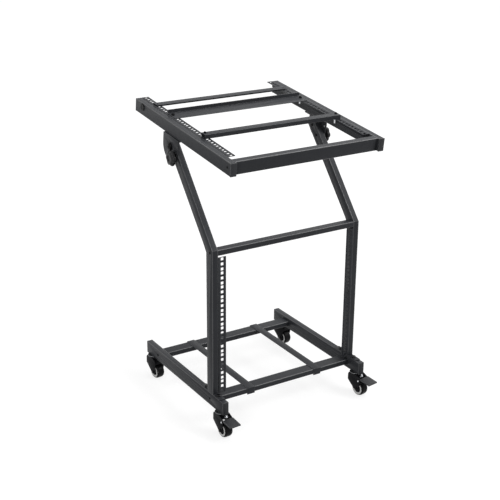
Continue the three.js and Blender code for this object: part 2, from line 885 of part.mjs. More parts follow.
// The whole stand, with its origin on the floor under the middle of its bounding box.
function rackStand() {
  const stand = new THREE.Group();
  for (const [name, side] of Object.entries(sides)) {
    stand.add(sideFrame(name, side));
    addCaster(stand, `front_${name}`, side * middleX, frontStemY, true);
    addCaster(stand, `rear_${name}`, side * middleX, rearStemY, false);
  }
  const width = [-innerX, innerX];
  const baseZ = [baseBarBottom, baseBarTop];
  const frontBase = tubeAlongX(width, [postFront, postFront + baseBarDepth], baseZ);
  const rearBase = tubeAlongX(width, [rearBarRear - baseBarDepth, rearBarRear], baseZ);
  const midZ = [midBarBottom, midBarBottom + midBarHeight];
  const midBar = tubeAlongX(width, [postFront, postFront + midBarDepth], midZ);
  stand.add(meshOf("base_front_crossbar", frontBase, "powderCoat"));
  stand.add(meshOf("base_rear_crossbar", rearBase, "powderCoat"));
  stand.add(meshOf("mid_crossbar", midBar, "powderCoat"));
  stand.add(topFrame());
  const bounds = new THREE.Box3().setFromObject(stand, true);
  stand.position.y = -(bounds.min.y + bounds.max.y) / 2;
  const group = new THREE.Group();
  group.add(stand);
  return group;
}

const group = rackStand();

export default group;
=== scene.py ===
"""Looks of the rolling rack stand: eased steel, casters, knobs, screws, finishes, camera and light.

Everything is in metres in the frame of the solid model: X across the stand, Y from front to rear, Z up.
"""
import json
import math

import bmesh
import bpy
import numpy as np
from bpy.props import FloatProperty, FloatVectorProperty, PointerProperty
from mathutils import Matrix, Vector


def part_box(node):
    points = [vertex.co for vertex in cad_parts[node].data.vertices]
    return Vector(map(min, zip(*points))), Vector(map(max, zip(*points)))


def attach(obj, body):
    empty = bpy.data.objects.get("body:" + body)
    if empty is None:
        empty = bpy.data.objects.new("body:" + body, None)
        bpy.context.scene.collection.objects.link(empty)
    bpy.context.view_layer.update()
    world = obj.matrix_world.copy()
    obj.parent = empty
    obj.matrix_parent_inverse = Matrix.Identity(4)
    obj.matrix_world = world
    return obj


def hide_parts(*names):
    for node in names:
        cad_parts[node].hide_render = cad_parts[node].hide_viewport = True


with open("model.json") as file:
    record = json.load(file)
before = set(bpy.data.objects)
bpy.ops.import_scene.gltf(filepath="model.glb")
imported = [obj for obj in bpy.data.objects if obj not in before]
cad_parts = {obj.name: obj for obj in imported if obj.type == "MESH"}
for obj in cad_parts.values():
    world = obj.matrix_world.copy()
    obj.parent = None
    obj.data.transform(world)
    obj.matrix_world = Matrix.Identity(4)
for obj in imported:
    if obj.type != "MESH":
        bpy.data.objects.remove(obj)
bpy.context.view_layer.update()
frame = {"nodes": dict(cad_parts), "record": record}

bl_info = {
    "name": "Rack stand looks",
    "version": (1, 0, 0),
    "blender": (4, 5, 0),
    "location": "3D View > Sidebar > Rack stand",
    "description": "Dresses the solid model of a rolling rack stand and sets up its stage",
    "category": "Object",
}

SIDES = {"left": -1, "right": 1}
CASTERS = ("front_left", "front_right", "rear_left", "rear_right")
JOINTS = {joint["name"]: joint for joint in frame["record"]["behaviour"]["joints"]}
MM = 0.001
RACK_COLUMN = 0.23255  # from the middle plane to a column of rack holes
TOP_TILT = math.radians(6.56)  # of the top frame at rest
PIVOT_FROM_FRONT = 0.340  # along the top members
PIVOT_UNDER_TOP = 0.0718  # below the top faces of the members
# bars across the top frame: place of their screws along the members, and height of their faces over the rails
CROSS_BARS = (
    ("top_rear_bar", 0.50105, 0.0044),
    ("top_shelf_bar", 0.39945, 0.002),
    ("top_front_bar", 0.205775, 0.0132),
)
RAIL_THICKNESS = 0.002
PLUG_PLACE = (0.5356, -0.0130)  # along a top member and over its top face
MEMBER_SCREW_PLACE = (0.0183, -0.0178)  # the same two for the small screw of a top member
REAR_BAR_DEPTH = 0.0255  # from its open front to its back
REAR_BAR_WALL = 0.0007
REAR_BAR_HEAD = 0.0009  # height of its low screw heads
PIVOT_HEAD = 0.0065  # thickness of the pivot bolts' heads
KNOB_GRIP = 0.014  # thickness of the lock knobs' grips
# Painted shade: inside this radius a wheel core takes the dark cap plastic, in its sunk middle.
PAINTED_SHADE_WELL = 0.0131  # radius of the sunk middle of a wheel core
PLATE_THICKNESS = 0.003  # of the base plates
CROWN_DROP = 0.011  # from the underside of a foot to the crown of the fork below it
# lamps: name, the setting with their power, width, place and what they look at
LAMPS = (
    ("Overhead lamp", "overhead", 3.2, (0.8, 0.4, 3.4), (0, 0, 0.5)),
    ("Key lamp", "key", 2.2, (2.5, -2.6, 3.7), (0, 0, 0.6)),
    ("Side lamp", "side", 1.8, (-2.7, -1.8, 2.2), (0, 0, 0.5)),
)


# Sizes and colours


def colour_property(name, description, default):
    return FloatVectorProperty(
        name=name, description=description, default=default, size=3, min=0, max=1, subtype="COLOR"
    )


def length_property(name, description, default):
    return FloatProperty(name=name, description=description, default=default, min=0, unit="LENGTH")


class RackStandFinishes(bpy.types.PropertyGroup):
    """Colours of the finishes."""

    coat: colour_property("Frame coat", "Powder coat of tubes, rails and bars", (0.030, 0.0315, 0.0355))
    # Painted highlight: the eased edges are lighter than the coat; the coat is not thinner there.
    coat_edge_highlight: colour_property("Coat edge", "Powder coat where it thins over an edge", (0.036, 0.037, 0.041))
    black_steel: colour_property("Black steel", "Enamel of base plates and screws", (0.003, 0.003, 0.0035))
    fork_steel: colour_property("Fork steel", "Dark plate of the caster forks", (0.009, 0.009, 0.0105))
    zinc: colour_property("Zinc", "Bright zinc plate", (0.62, 0.63, 0.65))
    plastic: colour_property("Black plastic", "Knobs", (0.013, 0.013, 0.014))
    # The cap plastic also paints the shade in the sunk middles of the wheel cores.
    cap_plastic: colour_property("Cap plastic", "End caps and pedals", (0.026, 0.027, 0.030))
    # The tread rubber also paints the shade on the inner flanks of the front caps of the top members.
    rubber: colour_property("Rubber", "Tread of the wheels", (0.0025, 0.0025, 0.003))
    wheel_core: colour_property("Wheel core", "Light moulded cores of the wheels", (0.86, 0.86, 0.85))


class RackStandSizes(bpy.types.PropertyGroup):
    """Sizes that the solid model leaves to the looks."""

    tube_corner: length_property("Tube corner", "Radius along the long corners of the tubes", 2.2 * MM)
    sheet_corner: length_property("Sheet corner", "Radius along the edges of the sheet parts", 0.5 * MM)
    rim_ease: length_property("Rim ease", "Rounding of cut ends and hole rims", 0.35 * MM)
    moulding_ease: length_property("Moulding ease", "Rounding of the moulded parts", 1.0 * MM)
    bar_screw: length_property("Bar screw", "Radius of the screw heads on the shelf bar", 5.2 * MM)
    bar_screw_height: length_property("Bar screw height", "Height of the heads on the shelf bar", 5.4 * MM)
    frame_screw: length_property("Frame screw", "Radius of the other screw heads", 3.6 * MM)
    frame_screw_height: length_property("Frame screw height", "Height of the heads on the feet", 1.8 * MM)
    washer_thickness: length_property("Washer thickness", "Thickness of the washers", 1.2 * MM)
    plug: length_property("Plug", "Radius of the plugs in the top members", 12.0 * MM)
    plug_height: length_property("Plug height", "How far the plugs stand out", 2.6 * MM)


class RackStandStage(bpy.types.PropertyGroup):
    """Camera, lamps and floor."""

    camera_place: FloatVectorProperty(
        name="Camera place",
        description="Where the camera stands",
        default=(-1.709029, -2.690248, 1.701138),
        size=3,
        subtype="XYZ",
        unit="LENGTH",
    )
    camera_turn: FloatVectorProperty(
        name="Camera turn",
        description="Heading, pitch down and roll of the camera",
        default=(math.radians(31.8254), math.radians(20.6961), math.radians(0.3918)),
        size=3,
        subtype="EULER",
        unit="ROTATION",
    )
    focal_length: FloatProperty(
        name="Focal length", description="In millimetres on a 36 mm sensor", default=77.0675, min=1
    )
    centre_right: FloatProperty(
        name="Centre right", description="Sideways shift as a share of the frame", default=0.009185
    )
    centre_up: FloatProperty(
        name="Centre up", description="Upward shift as a share of the frame", default=-0.010719
    )
    overhead: FloatProperty(name="Overhead", description="Power of the lamp above", default=58, min=0)
    key: FloatProperty(name="Key", description="Power of the lamp in front on the right", default=98, min=0)
    side: FloatProperty(name="Side", description="Power of the lamp in front on the left", default=45, min=0)
    surround: FloatProperty(name="Surround", description="Strength of the even light", default=0.14, min=0)
    floor_colour: colour_property("Floor", "Colour of the floor", (0.31, 0.31, 0.31))
    floor_lift_near: FloatProperty(
        name="Floor lift near", description="Lift of the floor towards white by the stand", default=0.8, min=0
    )
    floor_lift_far: FloatProperty(
        name="Floor lift far", description="The same lift where the lamps fade", default=0.98, min=0
    )


def finishes():
    return bpy.context.scene.rack_stand_finishes


def sizes():
    return bpy.context.scene.rack_stand_sizes


def stage_settings():
    return bpy.context.scene.rack_stand_stage


# Shader node groups and materials


def new_group(name, inputs, outputs):
    """A shader node group with named sockets, its input node and its output node."""
    group = bpy.data.node_groups.new(name, "ShaderNodeTree")
    for label, kind, value in inputs:
        socket = group.interface.new_socket(label, in_out="INPUT", socket_type=kind)
        socket.default_value = value
    for label, kind in outputs:
        group.interface.new_socket(label, in_out="OUTPUT", socket_type=kind)
    return group, group.nodes.new("NodeGroupInput"), group.nodes.new("NodeGroupOutput")


def math_node(nodes, operation, value=None):
    node = nodes.new("ShaderNodeMath")
    node.operation = operation
    if value is not None:
        node.inputs[1].default_value = value
    return node


def noise_node(nodes, detail, roughness=0.5):
    node = nodes.new("ShaderNodeTexNoise")
    node.inputs["Detail"].default_value = detail
    node.inputs["Roughness"].default_value = roughness
    return node


def range_node(nodes, low, high, new_low=0.0, new_high=1.0):
    node = nodes.new("ShaderNodeMapRange")
    node.inputs["From Min"].default_value = low
    node.inputs["From Max"].default_value = high
    node.inputs["To Min"].default_value = new_low
    node.inputs["To Max"].default_value = new_high
    return node


def combined(tree, operation, first, second):
    """The result of a maths node fed by two sockets."""
    node = math_node(tree.nodes, operation)
    tree.links.new(first, node.inputs[0])
    tree.links.new(second, node.inputs[1])
    return node.outputs[0]


def colour_mix(tree, share, colour):
    """A mix node with its share and first colour linked; input 7 is the second colour, output 2 the mix."""
    node = tree.nodes.new("ShaderNodeMix")
    node.data_type = "RGBA"
    tree.links.new(share, node.inputs["Factor"])
    tree.links.new(colour, node.inputs[6])
    return node


def seen_rays(tree):
    """A socket that is one for rays from the camera, mirrored or passed through, and zero for other light."""
    path = tree.nodes.new("ShaderNodeLightPath").outputs
    mirrored = combined(tree, "MAXIMUM", path["Is Camera Ray"], path["Is Glossy Ray"])
    return combined(tree, "MAXIMUM", mirrored, path["Is Transmission Ray"])


def grain_group():
    """Grain: fine bumps, slow patches of tone and a drifting roughness, from noise in object space."""
    group, given, result = new_group(
        "Grain",
        [
            ("Colour", "NodeSocketColor", (0.5, 0.5, 0.5, 1)),
            ("Patch Colour", "NodeSocketColor", (0.5, 0.5, 0.5, 1)),
            ("Grain Scale", "NodeSocketFloat", 900),
            ("Patch Scale", "NodeSocketFloat", 14),
            ("Roughness", "NodeSocketFloat", 0.5),
            ("Roughness Swing", "NodeSocketFloat", 0.1),
        ],
        [("Colour", "NodeSocketColor"), ("Roughness", "NodeSocketFloat"), ("Height", "NodeSocketFloat")],
    )
    nodes, links = group.nodes, group.links
    place = nodes.new("ShaderNodeTexCoord")
    fine, patch = noise_node(nodes, 2), noise_node(nodes, 5, 0.6)
    for noise, scale in ((fine, "Grain Scale"), (patch, "Patch Scale")):
        links.new(place.outputs["Object"], noise.inputs["Vector"])
        links.new(given.outputs[scale], noise.inputs["Scale"])
    spread = range_node(nodes, 0.35, 0.65)
    links.new(patch.outputs["Fac"], spread.inputs["Value"])
    mix = colour_mix(group, spread.outputs["Result"], given.outputs["Colour"])
    links.new(given.outputs["Patch Colour"], mix.inputs[7])
    centred = math_node(nodes, "SUBTRACT", 0.5)
    links.new(patch.outputs["Fac"], centred.inputs[0])
    swing = combined(group, "MULTIPLY", centred.outputs[0], given.outputs["Roughness Swing"])
    rough = combined(group, "ADD", given.outputs["Roughness"], swing)
    links.new(mix.outputs[2], result.inputs["Colour"])
    links.new(rough, result.inputs["Roughness"])
    links.new(fine.outputs["Fac"], result.inputs["Height"])
    return group


def scuff_group():
    """Scuffs: short thin marks where stretched noise passes a threshold, kept to patches."""
    group, given, result = new_group(
        "Scuffs",
        [
            ("Stretch", "NodeSocketVector", (1, 1, 1)),
            ("Scale", "NodeSocketFloat", 60),
            ("Amount", "NodeSocketFloat", 0.3),
        ],
        [("Mask", "NodeSocketFloat")],
    )
    nodes, links = group.nodes, group.links
    place = nodes.new("ShaderNodeTexCoord")
    stretched = nodes.new("ShaderNodeVectorMath")
    stretched.operation = "MULTIPLY"
    links.new(place.outputs["Object"], stretched.inputs[0])
    links.new(given.outputs["Stretch"], stretched.inputs[1])
    marks, areas = noise_node(nodes, 6, 0.65), noise_node(nodes, 2)
    links.new(stretched.outputs[0], marks.inputs["Vector"])
    links.new(given.outputs["Scale"], marks.inputs["Scale"])
    links.new(place.outputs["Object"], areas.inputs["Vector"])
    areas.inputs["Scale"].default_value = 9
    thin, where = range_node(nodes, 0.60, 0.68), range_node(nodes, 0.48, 0.66)
    links.new(marks.outputs["Fac"], thin.inputs["Value"])
    links.new(areas.outputs["Fac"], where.inputs["Value"])
    both = combined(group, "MULTIPLY", thin.outputs["Result"], where.outputs["Result"])
    links.new(combined(group, "MULTIPLY", both, given.outputs["Amount"]), result.inputs["Mask"])
    return group


def place_group(nodes, group, **values):
    """A node of a named group with some of its inputs set."""
    node = nodes.new("ShaderNodeGroup")
    node.node_tree = bpy.data.node_groups[group]
    for label, value in values.items():
        node.inputs[label.replace("_", " ").title()].default_value = value
    return node


def shade(colour, factor):
    """A colour made lighter or darker by a factor."""
    return tuple(min(1.0, channel * factor) for channel in colour)


def make_finish(
    name, colour, patch, roughness, swing, grain, bump, metallic=0.0, patch_scale=14.0, gloss=0.5, **scuff
):
    """A material: grain for colour, roughness and bump, with scuffs of another colour over it."""
    material = bpy.data.materials.new(name)
    material.use_nodes = True
    nodes, links = material.node_tree.nodes, material.node_tree.links
    shader = nodes["Principled BSDF"]
    shader.inputs["Metallic"].default_value = metallic
    shader.inputs["Specular IOR Level"].default_value = gloss
    grainy = place_group(
        nodes, "Grain", colour=(*colour, 1), patch_colour=(*patch, 1), grain_scale=grain,
        patch_scale=patch_scale, roughness=roughness, roughness_swing=swing,
    )
    out = grainy.outputs["Colour"]
    if scuff:
        worn = scuff.pop("worn")
        marks = place_group(nodes, "Scuffs", **scuff)
        over = colour_mix(material.node_tree, marks.outputs["Mask"], out)
        over.inputs[7].default_value = (*worn, 1)
        out = over.outputs[2]
    links.new(out, shader.inputs["Base Color"])
    links.new(grainy.outputs["Roughness"], shader.inputs["Roughness"])
    raised = nodes.new("ShaderNodeBump")
    raised.inputs["Strength"].default_value = bump
    raised.inputs["Distance"].default_value = 0.2 * MM
    links.new(grainy.outputs["Height"], raised.inputs["Height"])
    links.new(raised.outputs["Normal"], shader.inputs["Normal"])
    return material


def finish(name):
    return bpy.data.materials[name]


def slot_finish(slot_name):
    """The finish that a record slot stands for, with the one on its eased edges, lighter as a painted
    highlight for coat, black steel and caps.
    """
    return {
        "frame_coat": ("Frame coat", "Coat edge"),
        "black_steel": ("Black steel", "Black steel edge"),
        "zinc": ("Zinc plate", "Zinc plate"),
        "black_plastic": ("Cap plastic", "Cap edge"),
        "tyre": ("Rubber tread", "Rubber tread"),
        "wheel_core": ("Wheel core", "Wheel core"),
    }[slot_name]


# Meshes


def in_scene(name, data):
    """A new object in the scene from a mesh, a lamp or a camera."""
    thing = bpy.data.objects.new(name, data)
    bpy.context.scene.collection.objects.link(thing)
    return thing


def finish_piece(name, mesh, material, body, sharp=35.0):
    """A piece from a mesh: merged, shaded smooth up to the sharp angle and its body."""
    shape = bmesh.new()
    shape.from_mesh(mesh)
    bmesh.ops.remove_doubles(shape, verts=shape.verts, dist=1e-6)
    bmesh.ops.dissolve_degenerate(shape, edges=shape.edges, dist=1e-7)
    shape.to_mesh(mesh)
    shape.free()
    piece = in_scene(name, mesh)
    mesh.materials.append(finish(material))
    mesh.polygons.foreach_set("use_smooth", np.ones(len(mesh.polygons), bool))
    mesh.set_sharp_from_angle(angle=math.radians(sharp))
    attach(piece, body)
    return piece


def joined(name, parts, material, body, sharp=35.0):
    """One piece from several surfaces, each a pair of points and faces."""
    starts = np.cumsum([0] + [points.reshape(-1, 3).shape[0] for points, _ in parts[:-1]])
    points = np.concatenate([points.reshape(-1, 3) for points, _ in parts])
    faces = [row for (_, quads), start in zip(parts, starts) for row in (quads + start).tolist()]
    mesh = bpy.data.meshes.new(name)
    mesh.from_pydata(points.tolist(), [], faces)
    return finish_piece(name, mesh, material, body, sharp)


def carried(name, section, offsets, material, body):
    """A piece from an outline carried between two places: offsets[v] + section[u], closed at the ends."""
    count = len(section)
    points = np.asarray(offsets)[:, None, :] + section[None, :, :]
    ends = [list(range(count))[::-1], list(range(count, 2 * count))]
    mesh = bpy.data.meshes.new(name)
    mesh.from_pydata(points.reshape(-1, 3).tolist(), [], grid_faces(2, count, True).tolist() + ends)
    piece = finish_piece(name, mesh, material, body)
    shape = bmesh.new()
    shape.from_mesh(mesh)
    bmesh.ops.recalc_face_normals(shape, faces=shape.faces)
    shape.to_mesh(mesh)
    shape.free()
    return piece


def face_values(mesh, name):
    """The centres or the normals of all faces of a mesh."""
    values = np.empty(len(mesh.polygons) * 3)
    mesh.polygons.foreach_get(name, values)
    return values.reshape(-1, 3)


def repaint(mesh, chosen, material):
    """Gives the chosen faces of a mesh a material of their own."""
    mesh.materials.append(finish(material))
    index = np.empty(len(mesh.polygons), np.int32)
    mesh.polygons.foreach_get("material_index", index)
    index[chosen] = len(mesh.materials) - 1
    mesh.polygons.foreach_set("material_index", index)


def grid_faces(rows, columns, round_columns=False):
    """Quads between neighbours of a grid, closing round along its rows where asked."""
    row = np.arange(rows - 1)
    column = np.arange(columns if round_columns else columns - 1)
    r, c = (axis.ravel() for axis in np.meshgrid(row, column, indexing="ij"))
    r2, c2 = r + 1, (c + 1) % columns
    return np.stack([r * columns + c, r * columns + c2, r2 * columns + c2, r2 * columns + c], axis=-1)


def rounded(corners, radii, steps=4):
    """A profile with its corners drawn round: quadratic arcs from one radius before each to one after."""
    corners = np.asarray(corners, float)
    radii = np.broadcast_to(radii, len(corners))
    drawn = [corners[:1]]
    t = np.linspace(0, 1, steps + 1)[:, None]
    for before, corner, after, radius in zip(corners[:-2], corners[1:-1], corners[2:], radii[1:-1]):
        near, far = (
            corner + (end - corner) * min(0.5, radius / max(np.linalg.norm(end - corner), 1e-9))
            for end in (before, after)
        )
        drawn.append((1 - t) ** 2 * near + 2 * t * (1 - t) * corner + t**2 * far)
    drawn.append(corners[-1:])
    return np.concatenate(drawn)


def axis_frame(axis):
    """Three unit vectors: two across the axis, and the axis."""
    along = np.asarray(axis, float) / np.linalg.norm(axis)
    helper = np.array([0, 0, 1.0]) if abs(along[2]) < 0.9 else np.array([1.0, 0, 0])
    first = np.cross(helper, along)
    first /= np.linalg.norm(first)
    return first, np.cross(along, first), along


def hexagon(angle):
    """Distance to a hexagon's side of half width one: 1 / cos of the angle folded into its sixth."""
    sixth = math.pi / 3
    return 1 / np.cos((angle + sixth / 2) % sixth - sixth / 2)


def turned(profile, place, axis, sides, hexness=None, swell=None):
    """A turned surface: place + axis * height(u) + radius(u) * swell(u, v) * (cos v, sin v).

    Where hexness is one the ring is a hexagon whose half width is the radius. swell multiplies the radius.
    """
    profile = np.asarray(profile, float)
    angle = np.linspace(0, 2 * math.pi, sides, endpoint=False)
    first, second, along = axis_frame(axis)
    radius = np.repeat(profile[:, :1], sides, axis=1)
    if hexness is not None:
        share = np.asarray(hexness, float)[:, None]
        radius = radius * (1 - share + share * hexagon(angle)[None, :])
    if swell is not None:
        radius = radius * swell(profile, angle)
    ring = np.cos(angle)[None, :, None] * first + np.sin(angle)[None, :, None] * second
    points = np.asarray(place, float) + profile[:, 1][:, None, None] * along + radius[:, :, None] * ring
    return points, grid_faces(len(profile), sides, True)


def eased_copy(node, corner, rim, record_slot, body, long_edge=0.08, segments=3):
    """Stands for a solid: its shape with long outer corners rounded by corner and other edges by rim."""
    source = frame["nodes"][node]
    mesh = source.data.copy()
    mesh.materials.clear()
    shape = bmesh.new()
    shape.from_mesh(mesh)
    bmesh.ops.remove_doubles(shape, verts=shape.verts, dist=1e-6)
    weight = shape.edges.layers.float.new("bevel_weight_edge")
    for edge in shape.edges:
        if len(edge.link_faces) == 2 and edge.calc_face_angle(0) > math.radians(28):
            outer = edge.is_convex and edge.calc_length() > long_edge
            edge[weight] = 1.0 if outer else rim / corner
    shape.to_mesh(mesh)
    shape.free()
    mesh.polygons.foreach_set("use_smooth", np.ones(len(mesh.polygons), bool))
    for material in slot_finish(record_slot):
        mesh.materials.append(finish(material))
    piece = in_scene(f"{node}_eased", mesh)
    bevel = piece.modifiers.new("Eased edges", "BEVEL")
    bevel.width = corner
    bevel.segments = segments
    bevel.limit_method = "WEIGHT"
    bevel.harden_normals = True
    # Slot 1 on the bevel faces: the edge finish, a painted highlight for coat, black steel and caps.
    bevel.material = 1
    bevel.use_clamp_overlap = False
    bevel.miter_outer = "MITER_ARC"
    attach(piece, body)
    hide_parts(node)
    return piece


def node_body(node):
    """The body that a node of the solid model belongs to."""
    for body, members in frame["record"]["behaviour"]["bodies"].items():
        if node in members:
            return body
    raise ValueError(f"no body holds {node}")


def corners(node):
    """Lowest and highest corner of a node as arrays."""
    low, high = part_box(node)
    return np.array(low), np.array(high)


# The tilted top frame: s runs rearward along its members and n up out of their top faces


def on_top_frame(x, s, n):
    """A point of the top frame from its distance along the members and its height over them."""
    along, normal = top_axes()
    pivot = np.array(JOINTS["top_tilt"]["pos_m"]) + np.array([x, 0, 0])
    return pivot + (s - PIVOT_FROM_FRONT) * along + (PIVOT_UNDER_TOP + n) * normal


def top_axes():
    """Unit vectors along s and n of the top frame."""
    along = np.array([0, math.cos(TOP_TILT), math.sin(TOP_TILT)])
    return along, np.array([0, -along[2], along[1]])


# Fasteners


def button_head(place, axis, radius, height, washer=False):
    """Surfaces of a domed head with a hexagon socket, on a washer or bare, standing on place along axis."""
    lift = sizes().washer_thickness if washer else 0.0
    k = 0.38 * radius
    dome = rounded(
        [(0, lift + 0.45 * height), (k, lift + 0.45 * height), (k, lift + height),
         (0.62 * radius, lift + height), (radius, lift + 0.45 * height), (radius, lift), (0, lift)],
        [0, 0.1 * MM, 0.1 * MM, 0.9 * MM, 0.6 * MM, 0.2 * MM, 0],
    )
    in_socket = dome[:, 0] <= k * 1.02
    hexness = np.where(in_socket & (dome[:, 1] > lift), 1.0, 0.0)
    parts = [turned(dome, place, axis, 36, hexness)]
    if washer:
        ring = rounded([(0, lift), (1.25 * radius, lift), (1.25 * radius, 0), (0, 0)], 0.3 * MM)
        parts.append(turned(ring, place, axis, 32))
    return parts


def hex_nut(place, axis, half_width, height, reach):
    """Surfaces of a washer, a chamfered nut and a screw end past it, standing on place along axis."""
    lift = sizes().washer_thickness
    washer = rounded([(0, lift), (1.3 * half_width, lift), (1.3 * half_width, 0), (0, 0)], 0.3 * MM)
    nut = np.array(
        [(0, lift + height), (half_width * 0.92, lift + height), (half_width, lift + height * 0.88),
         (half_width, lift + height * 0.12), (half_width * 0.94, lift), (0, lift)]
    )
    shank = 0.58 * half_width
    end = rounded([(0, reach), (shank, reach), (shank, lift), (0, lift)], 0.5 * MM)
    return [
        turned(washer, place, axis, 32),
        turned(nut, place, axis, 36, [0, 0.4, 1, 1, 0.5, 0]),
        turned(end, place, axis, 20),
    ]


def standing_out(node, sign):
    """Of a round solid that stands out sideways: its inner end, length, radius and middle."""
    low, high = corners(node)
    return low[0] if sign > 0 else high[0], high[0] - low[0], (high[2] - low[2]) / 2, (low + high) / 2


def hole_plug(place, axis, radius, height):
    """Surface of a moulded plug in a hole: a low round cap with a soft edge and a shallow dished face."""
    profile = rounded(
        [(0, 0.72 * height), (0.62 * radius, 0.72 * height), (0.8 * radius, height), (radius, 0.5 * height),
         (radius, 0), (0, 0)],
        [0, 0.25 * radius, 0.2 * radius, 0.4 * height, 0.1 * height, 0],
        5,
    )
    return turned(profile, place, axis, 48)


# Operators


class PieceOperator:
    """What the operators share: they can be undone and are listed in the panel."""

    bl_options = {"REGISTER", "UNDO"}


class RACKSTAND_OT_finishes(PieceOperator, bpy.types.Operator):
    """Builds the node groups and the materials"""

    bl_idname = "rack_stand.finishes"
    bl_label = "Finishes"

    def execute(self, context):
        grain_group()
        scuff_group()
        paint = finishes()
        # edge: the colour of the eased edges, lighter than the coat as a painted highlight.
        coat, edge = tuple(paint.coat), tuple(paint.coat_edge_highlight)
        along = dict(stretch=(1, 1, 0.12), scale=120.0)
        make_finish(
            "Frame coat", coat, shade(coat, 1.18), 0.42, 0.12, 1100.0, 0.32, gloss=0.12,
            amount=0.25, worn=shade(coat, 2.4), **along,
        )
        # Painted highlight on the eased edges of the coat.
        make_finish("Coat edge", edge, shade(edge, 1.25), 0.28, 0.08, 1100.0, 0.2, gloss=0.6)
        black = tuple(paint.black_steel)
        make_finish(
            "Black steel", black, shade(black, 1.5), 0.38, 0.14, 700.0, 0.18, gloss=0.08,
            amount=0.3, worn=shade(black, 4.0), **along,
        )
        # Painted highlight: the eased edges of the black steel, lighter than it.
        make_finish("Black steel edge", shade(black, 2.2), shade(black, 3.2), 0.3, 0.1, 700.0, 0.1, gloss=0.4)
        fork = tuple(paint.fork_steel)
        make_finish(
            "Fork steel", fork, shade(fork, 1.35), 0.36, 0.14, 420.0, 0.12, gloss=0.06,
            amount=0.3, worn=shade(fork, 2.2), stretch=(0.3, 1, 1), scale=260.0,
        )
        zinc = tuple(paint.zinc)
        make_finish(
            "Zinc plate", zinc, shade(zinc, 0.82), 0.28, 0.18, 600.0, 0.1, metallic=1.0, patch_scale=60.0,
            amount=0.5, worn=shade(zinc, 0.6), stretch=(0.2, 1, 1), scale=300.0,
        )
        plastic = tuple(paint.plastic)
        make_finish("Black plastic", plastic, shade(plastic, 1.25), 0.34, 0.14, 1500.0, 0.35, gloss=0.2)
        dull = shade(zinc, 0.22)
        make_finish(
            "Dull zinc", dull, shade(dull, 0.7), 0.36, 0.16, 600.0, 0.1, metallic=1.0, patch_scale=60.0
        )
        cap = tuple(paint.cap_plastic)
        make_finish("Cap plastic", cap, shade(cap, 1.25), 0.44, 0.12, 1500.0, 0.3, gloss=0.2)
        # Painted highlight: the eased edges of the caps, lighter than the cap plastic.
        make_finish("Cap edge", shade(cap, 1.4), shade(cap, 1.7), 0.36, 0.1, 1500.0, 0.2, gloss=0.5)
        rubber = tuple(paint.rubber)
        make_finish(
            "Rubber tread", rubber, shade(rubber, 1.6), 0.36, 0.12, 1300.0, 0.3, patch_scale=40.0, gloss=0.09,
            amount=0.4, worn=shade(rubber, 2.4), stretch=(1, 1, 1), scale=180.0,
        )
        core = tuple(paint.wheel_core)
        make_finish("Wheel core", core, shade(core, 0.93), 0.42, 0.12, 800.0, 0.12, patch_scale=50.0)
        return {"FINISHED"}


class RACKSTAND_OT_tubes(PieceOperator, bpy.types.Operator):
    """Rounds the corners of the feet, posts, crossbars, top members and bars"""

    bl_idname = "rack_stand.tubes"
    bl_label = "Tubes and bars"

    def execute(self, context):
        size = sizes()
        nodes = ["base_front_crossbar", "base_rear_crossbar", "mid_crossbar", "top_front_tube"]
        nodes += [f"{stem}_{side}" for side in SIDES for stem in ("foot", "post", "top_member")]
        for node in nodes:
            eased_copy(node, size.tube_corner, size.rim_ease, "frame_coat", node_body(node))
        self.rear_bar()
        for node in ("top_shelf_bar", "top_front_bar"):
            eased_copy(node, size.sheet_corner, size.rim_ease, "frame_coat", node_body(node))
        return {"FINISHED"}

    def rear_bar(self):
        """The rear bar, a flat channel open to the front: its outline in s and n carried from end to end."""
        low, high = corners("top_rear_bar")
        half, wall = (high[0] - low[0]) / 2, REAR_BAR_WALL
        front, rear = -REAR_BAR_DEPTH / 2, REAR_BAR_DEPTH / 2
        middle, height = CROSS_BARS[0][1:]
        outline = rounded(
            [(0, height), (rear, height), (rear, 0), (front, 0), (front, wall), (rear - wall, wall),
             (rear - wall, height - wall), (front, height - wall), (front, height), (0, height)],
            [0, 0.0006, 0.0006, 0.0002, 0.0002, 0, 0, 0.0002, 0.0003, 0],
            3,
        )[:-1]
        along, normal = top_axes()
        section = on_top_frame(0, middle, 0) + outline[:, :1] * along + outline[:, 1:] * normal
        ends = [[-half, 0, 0], [half, 0, 0]]
        piece = carried("top_rear_bar_channel", section, ends, "Frame coat", "top_frame")
        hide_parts("top_rear_bar")


class RACKSTAND_OT_sheet_parts(PieceOperator, bpy.types.Operator):
    """Eases the edges of the rack rails, straps and tilt brackets"""

    bl_idname = "rack_stand.sheet_parts"
    bl_label = "Rails, straps and brackets"

    def execute(self, context):
        size = sizes()
        for side in SIDES:
            for stem in ("lower_rack_rail", "top_rack_rail", "base_strap", "tilt_bracket"):
                node = f"{stem}_{side}"
                rim = 0.0 if stem.endswith("rack_rail") else size.rim_ease
                eased_copy(node, size.sheet_corner, rim, "frame_coat", node_body(node), segments=2)
        return {"FINISHED"}


class RACKSTAND_OT_caps(PieceOperator, bpy.types.Operator):
    """Rounds the end caps and paints shade on the inner flanks of those at the front of the top members"""

    bl_idname = "rack_stand.caps"
    bl_label = "End caps"

    def execute(self, context):
        size = sizes()
        for side in SIDES:
            for end in ("foot_front", "foot_rear", "top_member_front", "top_member_rear"):
                node = f"{end}_cap_{side}"
                body = node_body(node)
                cap = eased_copy(node, size.moulding_ease, size.rim_ease, "black_plastic", body, 0.015)
                # Painted shade: the inner flanks of the front caps, where the cross tube meets the member,
                # take the dark tread rubber.
                if end == "top_member_front":
                    painted_shade_flank = -SIDES[side] * face_values(cap.data, "normal")[:, 0] > 0.7
                    repaint(cap.data, painted_shade_flank, "Rubber tread")
        return {"FINISHED"}


